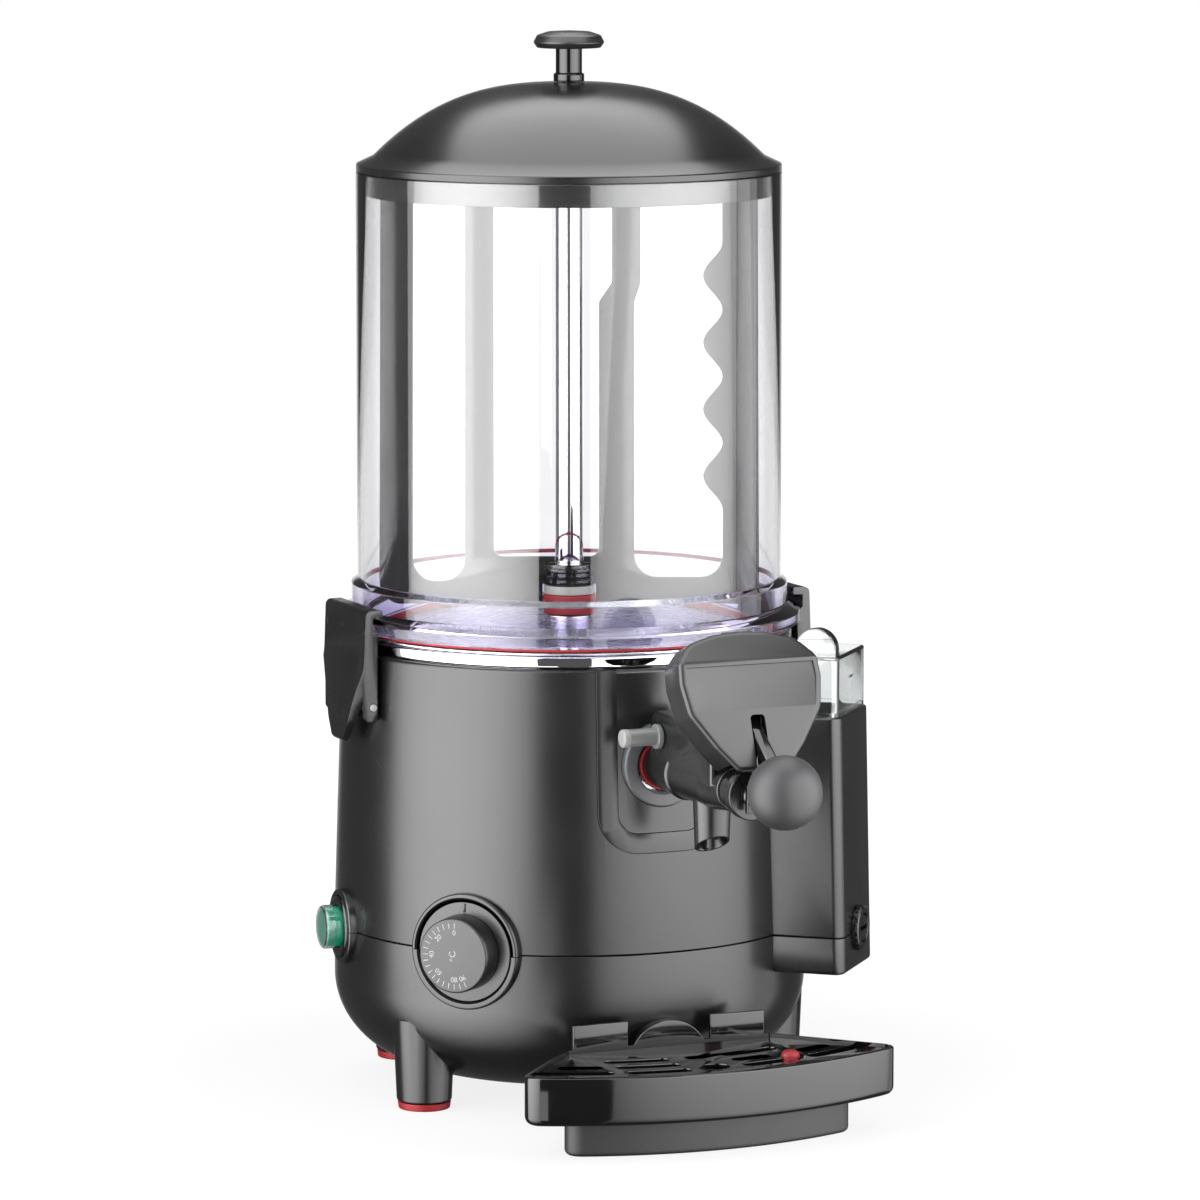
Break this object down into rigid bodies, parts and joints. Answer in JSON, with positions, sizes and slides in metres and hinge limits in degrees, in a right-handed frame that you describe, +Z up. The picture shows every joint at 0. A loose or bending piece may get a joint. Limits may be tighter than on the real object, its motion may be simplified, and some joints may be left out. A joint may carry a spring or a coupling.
{
  "type": "hot chocolate dispenser",
  "caption": "Round countertop hot chocolate dispenser with a heated base, a clear stirred tank, domed lid, lever tap, dial, water gauge box and drip tray.",
  "frame": {"origin": "centre of the bounding box's footprint, on the table", "axes": "+Z up, the tap faces -Y, the gauge box is on the +X side"},
  "size_m": [0.2853, 0.4448, 0.58],
  "materials": {
    "black_plastic": "fine matt texture",
    "gloss_black": "gloss",
    "steel": "bright brushed",
    "chrome": "polished",
    "dark_steel": "dull",
    "clear_plastic": "clear, faint violet tint",
    "grey_plastic": "satin",
    "white_plastic": "satin",
    "red_rubber": "satin",
    "green_plastic": "gloss",
    "brass": "dull"
  },
  "bodies": {
    "base": {"lower_shell": "black_plastic", "upper_shell": "black_plastic", "tap_trim": "black_plastic", "foot_pad_1": "red_rubber", "foot_pad_2": "red_rubber", "foot_pad_3": "red_rubber", "foot_pad_4": "red_rubber", "dial_bezel": "black_plastic", "thermostat": "grey_plastic", "switch_bezel": "gloss_black", "switch_body": "black_plastic", "drain_fitting": "black_plastic", "bath_vessel": "steel", "product_bowl": "steel", "heater": "dark_steel", "gearbox": "dark_steel", "motor_can": "steel", "cutout_switch": "brass", "cord_gland": "black_plastic", "tank": "clear_plastic", "tank_gasket": "red_rubber", "seal_ring": "red_rubber", "seal_bush": "white_plastic", "latch_pin_left": "steel", "latch_bracket_left": "black_plastic", "latch_pin_right": "steel", "latch_bracket_right": "black_plastic", "tap_collar": "grey_plastic", "tap_ring": "red_rubber", "tap_body": "black_plastic", "tap_cap": "black_plastic", "tap_spring": "steel", "lever_pin": "steel", "tap_cover": "black_plastic"},
    "lid": {"lid_dome": "black_plastic", "lid_stem": "black_plastic", "lid_knob": "black_plastic"},
    "agitator": {"motor_shaft": "steel", "shaft_cap": "gloss_black", "shaft_tube": "chrome", "paddle": "grey_plastic", "paddle_clip": "gloss_black"},
    "dial": {"dial": "black_plastic", "dial_spindle": "dark_steel"},
    "switch": {"switch_button": "green_plastic", "switch_boot": "clear_plastic"},
    "gauge_cover": {"gauge_cover": "clear_plastic"},
    "drain_cap": {"drain_cap": "gloss_black"},
    "latch_left": {"latch_left": "black_plastic"},
    "latch_right": {"latch_right": "black_plastic"},
    "lever": {"tap_lever": "gloss_black", "tap_ball": "black_plastic"},
    "piston": {"tap_piston": "dark_steel"},
    "lock_pin": {"lock_pin": "steel"},
    "tray": {"drip_tray": "black_plastic"},
    "grid": {"drip_grid": "gloss_black"},
    "float": {"level_float": "red_rubber"}
  },
  "joints": [
    {"name": "lid_lift", "type": "slide", "parent": "base", "child": "lid", "axis": [0, 0, 1], "range_m": [0, 0.12]},
    {"name": "agitator_spin", "type": "hinge", "parent": "base", "child": "agitator", "pos_m": [0.00078, 0.07705, 0.3], "axis": [0, 0, 1], "continuous": true},
    {"name": "dial_turn", "type": "hinge", "parent": "base", "child": "dial", "pos_m": [-0.09733, -0.00975, 0.093], "axis": [-0.749, -0.6626, 0], "range_deg": [0, 270]},
    {"name": "switch_press", "type": "slide", "parent": "base", "child": "switch", "axis": [0.9962, -0.0872, 0], "range_m": [0, 0.0025], "stiffness_N_per_m": 600, "springref_m": -0.003},
    {"name": "gauge_cover_lift", "type": "slide", "parent": "base", "child": "gauge_cover", "axis": [0, 0, 1], "range_m": [0, 0.04]},
    {"name": "drain_cap_pull", "type": "slide", "parent": "base", "child": "drain_cap", "axis": [0.749, -0.6626, 0], "range_m": [0, 0.03]},
    {"name": "latch_left_swing", "type": "hinge", "parent": "base", "child": "latch_left", "pos_m": [-0.12702, 0.07705, 0.219], "axis": [0, -1, 0], "range_deg": [0, 10]},
    {"name": "latch_right_swing", "type": "hinge", "parent": "base", "child": "latch_right", "pos_m": [0.12858, 0.07705, 0.219], "axis": [0, 1, 0], "range_deg": [0, 10]},
    {"name": "lever_pull", "type": "hinge", "parent": "base", "child": "lever", "pos_m": [0.00078, -0.15295, 0.238], "axis": [-1, 0, 0], "range_deg": [0, 15], "stiffness_Nm_per_rad": 1, "springref_deg": -5.73},
    {"name": "piston_slide", "type": "slide", "parent": "base", "child": "piston", "axis": [0, -1, 0], "range_m": [0, 0.0114], "deforming": ["tap_spring"]},
    {"name": "lock_pin_pull", "type": "slide", "parent": "base", "child": "lock_pin", "axis": [-1, 0, 0], "range_m": [0, 0.03]},
    {"name": "tray_pull", "type": "slide", "parent": "base", "child": "tray", "axis": [0, -1, 0], "range_m": [0, 0.15]},
    {"name": "grid_lift", "type": "slide", "parent": "tray", "child": "grid", "axis": [0, 0, 1], "range_m": [0, 0.05]},
    {"name": "float_rise", "type": "slide", "parent": "grid", "child": "float", "axis": [0, 0, 1], "range_m": [0, 0.006]}
  ],
  "couplings": [
    {"joint": "piston_slide", "follows": "lever_pull", "m_per_rad": 0.0428}
  ]
}
